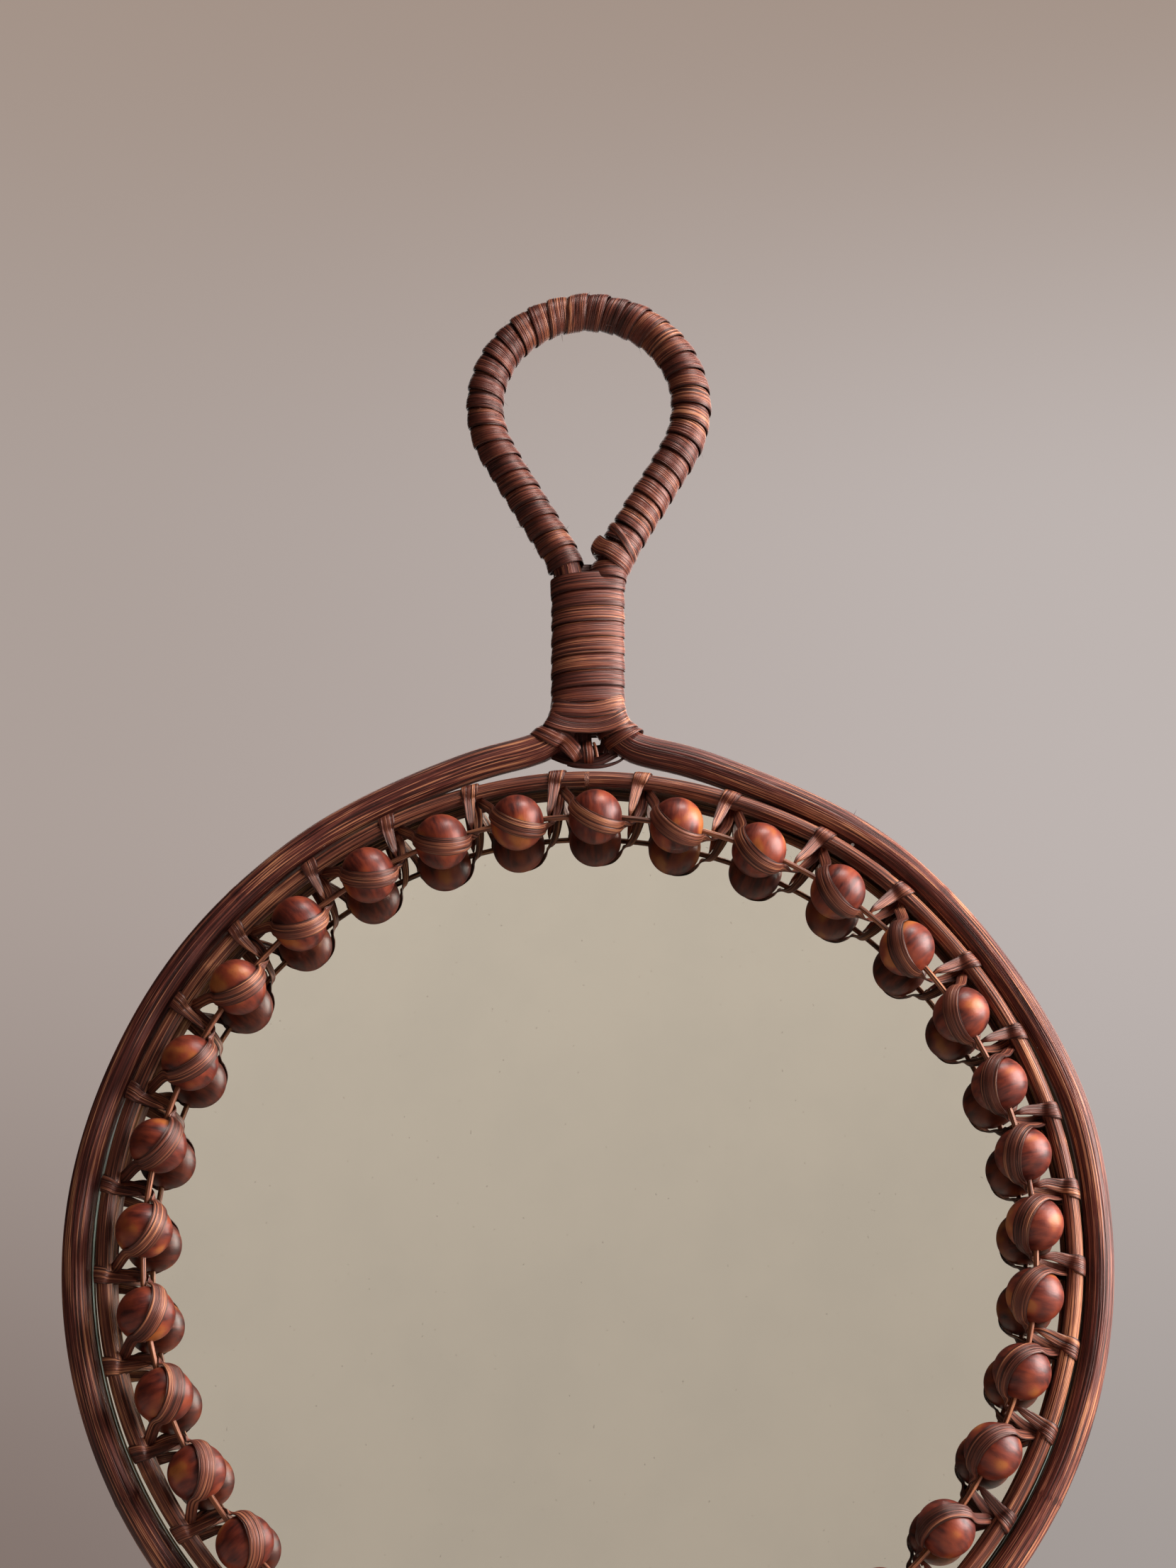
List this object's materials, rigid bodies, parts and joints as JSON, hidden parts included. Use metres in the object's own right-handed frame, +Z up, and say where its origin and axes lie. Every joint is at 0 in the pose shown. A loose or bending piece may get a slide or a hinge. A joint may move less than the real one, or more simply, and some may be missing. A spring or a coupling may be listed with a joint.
{
  "type": "hanging mirror",
  "caption": "Round mirror in a frame of bent cane with a bound hanging loop and neck, trimmed inside the rim with a ring of lacquered wooden beads lashed on with cane strip.",
  "frame": {"origin": "centre of the outer hoop, at the backing board's back face", "axes": "+Z up through the neck to the hanging loop; the mirror faces -Y, and +Y points out of its back"},
  "size_m": [0.28, 0.0223, 0.419],
  "materials": {
    "pole_cane": "stained dark red-brown cane, satin varnish, open lengthwise grain",
    "hoop_cane": "stained cane, satin, paler at the nodes",
    "thread_cane": "thin round core cane, satin",
    "binding_strip": "flat binding cane, satin with ribs along the strip",
    "lashing_strip": "flat binding cane, satin with fine ribs",
    "bead_wood": "glossy red-brown lacquer with amber patches",
    "glass": "clear float glass, polished",
    "silver": "silvered, slightly dusty",
    "board": "thin board stained dark brown, matt",
    "brad_steel": "dull steel, slightly rusted"
  },
  "bodies": {
    "mirror": {"frame_cane": "pole_cane", "scarf_pins": "brad_steel", "loop_wrap": "binding_strip", "neck_wrap": "binding_strip", "neck_tie_left": "binding_strip", "neck_tie_right": "binding_strip", "neck_knot": "binding_strip", "inner_hoop": "hoop_cane", "bead_cane": "thread_cane", "bead_lashing": "lashing_strip", "mirror_glass": "glass", "silver_coat": "silver", "backing_board": "board", "backing_brads": "brad_steel"},
    "bead_01": {"bead_01": "bead_wood"},
    "bead_02": {"bead_02": "bead_wood"},
    "bead_03": {"bead_03": "bead_wood"},
    "bead_04": {"bead_04": "bead_wood"},
    "bead_05": {"bead_05": "bead_wood"},
    "bead_06": {"bead_06": "bead_wood"},
    "bead_07": {"bead_07": "bead_wood"},
    "bead_08": {"bead_08": "bead_wood"},
    "bead_09": {"bead_09": "bead_wood"},
    "bead_10": {"bead_10": "bead_wood"},
    "bead_11": {"bead_11": "bead_wood"},
    "bead_12": {"bead_12": "bead_wood"},
    "bead_13": {"bead_13": "bead_wood"},
    "bead_14": {"bead_14": "bead_wood"},
    "bead_15": {"bead_15": "bead_wood"},
    "bead_16": {"bead_16": "bead_wood"},
    "bead_17": {"bead_17": "bead_wood"},
    "bead_18": {"bead_18": "bead_wood"},
    "bead_19": {"bead_19": "bead_wood"},
    "bead_20": {"bead_20": "bead_wood"},
    "bead_21": {"bead_21": "bead_wood"},
    "bead_22": {"bead_22": "bead_wood"},
    "bead_23": {"bead_23": "bead_wood"},
    "bead_24": {"bead_24": "bead_wood"},
    "bead_25": {"bead_25": "bead_wood"},
    "bead_26": {"bead_26": "bead_wood"},
    "bead_27": {"bead_27": "bead_wood"},
    "bead_28": {"bead_28": "bead_wood"},
    "bead_29": {"bead_29": "bead_wood"},
    "bead_30": {"bead_30": "bead_wood"},
    "bead_31": {"bead_31": "bead_wood"},
    "bead_32": {"bead_32": "bead_wood"},
    "bead_33": {"bead_33": "bead_wood"}
  },
  "joints": [
    {"name": "bead_01_turn", "type": "hinge", "parent": "mirror", "child": "bead_01", "pos_m": [0.00202, -0.0141, 0.11859], "axis": [0.9999, 0, -0.0138], "continuous": true},
    {"name": "bead_02_turn", "type": "hinge", "parent": "mirror", "child": "bead_02", "pos_m": [0.02429, -0.0141, 0.11615], "axis": [0.9793, 0, -0.2026], "continuous": true},
    {"name": "bead_03_turn", "type": "hinge", "parent": "mirror", "child": "bead_03", "pos_m": [0.04677, -0.0141, 0.1091], "axis": [0.9194, 0, -0.3933], "continuous": true},
    {"name": "bead_04_turn", "type": "hinge", "parent": "mirror", "child": "bead_04", "pos_m": [0.06809, -0.0141, 0.09723], "axis": [0.8188, 0, -0.5741], "continuous": true},
    {"name": "bead_05_turn", "type": "hinge", "parent": "mirror", "child": "bead_05", "pos_m": [0.08646, -0.0141, 0.08129], "axis": [0.6836, 0, -0.7299], "continuous": true},
    {"name": "bead_06_turn", "type": "hinge", "parent": "mirror", "child": "bead_06", "pos_m": [0.10058, -0.0141, 0.06286], "axis": [0.5272, 0, -0.8497], "continuous": true},
    {"name": "bead_07_turn", "type": "hinge", "parent": "mirror", "child": "bead_07", "pos_m": [0.11019, -0.0141, 0.04366], "axis": [0.3644, 0, -0.9312], "continuous": true},
    {"name": "bead_08_turn", "type": "hinge", "parent": "mirror", "child": "bead_08", "pos_m": [0.11583, -0.0141, 0.02471], "axis": [0.2037, 0, -0.979], "continuous": true},
    {"name": "bead_09_turn", "type": "hinge", "parent": "mirror", "child": "bead_09", "pos_m": [0.11818, -0.0141, 0.00601], "axis": [0.0451, 0, -0.999], "continuous": true},
    {"name": "bead_10_turn", "type": "hinge", "parent": "mirror", "child": "bead_10", "pos_m": [0.1175, -0.0141, -0.01306], "axis": [-0.1167, 0, -0.9932], "continuous": true},
    {"name": "bead_11_turn", "type": "hinge", "parent": "mirror", "child": "bead_11", "pos_m": [0.11339, -0.0141, -0.03298], "axis": [-0.2857, 0, -0.9583], "continuous": true},
    {"name": "bead_12_turn", "type": "hinge", "parent": "mirror", "child": "bead_12", "pos_m": [0.10512, -0.0141, -0.05346], "axis": [-0.4594, 0, -0.8882], "continuous": true},
    {"name": "bead_13_turn", "type": "hinge", "parent": "mirror", "child": "bead_13", "pos_m": [0.09225, -0.0141, -0.07322], "axis": [-0.627, 0, -0.779], "continuous": true},
    {"name": "bead_14_turn", "type": "hinge", "parent": "mirror", "child": "bead_14", "pos_m": [0.07514, -0.0141, -0.09048], "axis": [-0.7734, 0, -0.6339], "continuous": true},
    {"name": "bead_15_turn", "type": "hinge", "parent": "mirror", "child": "bead_15", "pos_m": [0.055, -0.0141, -0.10379], "axis": [-0.8863, 0, -0.4631], "continuous": true},
    {"name": "bead_16_turn", "type": "hinge", "parent": "mirror", "child": "bead_16", "pos_m": [0.03331, -0.0141, -0.11251], "axis": [-0.9602, 0, -0.2792], "continuous": true},
    {"name": "bead_17_turn", "type": "hinge", "parent": "mirror", "child": "bead_17", "pos_m": [0.01119, -0.0141, -0.11671], "axis": [-0.9958, 0, -0.0916], "continuous": true},
    {"name": "bead_18_turn", "type": "hinge", "parent": "mirror", "child": "bead_18", "pos_m": [-0.0108, -0.0141, -0.11667], "axis": [-0.9955, 0, 0.095], "continuous": true},
    {"name": "bead_19_turn", "type": "hinge", "parent": "mirror", "child": "bead_19", "pos_m": [-0.03236, -0.0141, -0.11256], "axis": [-0.9606, 0, 0.2779], "continuous": true},
    {"name": "bead_20_turn", "type": "hinge", "parent": "mirror", "child": "bead_20", "pos_m": [-0.05303, -0.0141, -0.1044], "axis": [-0.8914, 0, 0.4532], "continuous": true},
    {"name": "bead_21_turn", "type": "hinge", "parent": "mirror", "child": "bead_21", "pos_m": [-0.07201, -0.0141, -0.09234], "axis": [-0.7891, 0, 0.6142], "continuous": true},
    {"name": "bead_22_turn", "type": "hinge", "parent": "mirror", "child": "bead_22", "pos_m": [-0.08836, -0.0141, -0.07691], "axis": [-0.6582, 0, 0.7528], "continuous": true},
    {"name": "bead_23_turn", "type": "hinge", "parent": "mirror", "child": "bead_23", "pos_m": [-0.10133, -0.0141, -0.0589], "axis": [-0.5055, 0, 0.8628], "continuous": true},
    {"name": "bead_24_turn", "type": "hinge", "parent": "mirror", "child": "bead_24", "pos_m": [-0.11058, -0.0141, -0.03909], "axis": [-0.3375, 0, 0.9413], "continuous": true},
    {"name": "bead_25_turn", "type": "hinge", "parent": "mirror", "child": "bead_25", "pos_m": [-0.11601, -0.0141, -0.01798], "axis": [-0.1584, 0, 0.9874], "continuous": true},
    {"name": "bead_26_turn", "type": "hinge", "parent": "mirror", "child": "bead_26", "pos_m": [-0.11745, -0.0141, 0.00419], "axis": [0.0296, 0, 0.9996], "continuous": true},
    {"name": "bead_27_turn", "type": "hinge", "parent": "mirror", "child": "bead_27", "pos_m": [-0.11453, -0.0141, 0.02702], "axis": [0.2232, 0, 0.9748], "continuous": true},
    {"name": "bead_28_turn", "type": "hinge", "parent": "mirror", "child": "bead_28", "pos_m": [-0.10688, -0.0141, 0.04959], "axis": [0.4147, 0, 0.91], "continuous": true},
    {"name": "bead_29_turn", "type": "hinge", "parent": "mirror", "child": "bead_29", "pos_m": [-0.09463, -0.0141, 0.07049], "axis": [0.5919, 0, 0.806], "continuous": true},
    {"name": "bead_30_turn", "type": "hinge", "parent": "mirror", "child": "bead_30", "pos_m": [-0.07857, -0.0141, 0.08824], "axis": [0.7425, 0, 0.6698], "continuous": true},
    {"name": "bead_31_turn", "type": "hinge", "parent": "mirror", "child": "bead_31", "pos_m": [-0.06001, -0.0141, 0.10195], "axis": [0.8587, 0, 0.5124], "continuous": true},
    {"name": "bead_32_turn", "type": "hinge", "parent": "mirror", "child": "bead_32", "pos_m": [-0.04011, -0.0141, 0.11142], "axis": [0.9391, 0, 0.3436], "continuous": true},
    {"name": "bead_33_turn", "type": "hinge", "parent": "mirror", "child": "bead_33", "pos_m": [-0.01944, -0.0141, 0.11692], "axis": [0.9857, 0, 0.1682], "continuous": true}
  ]
}
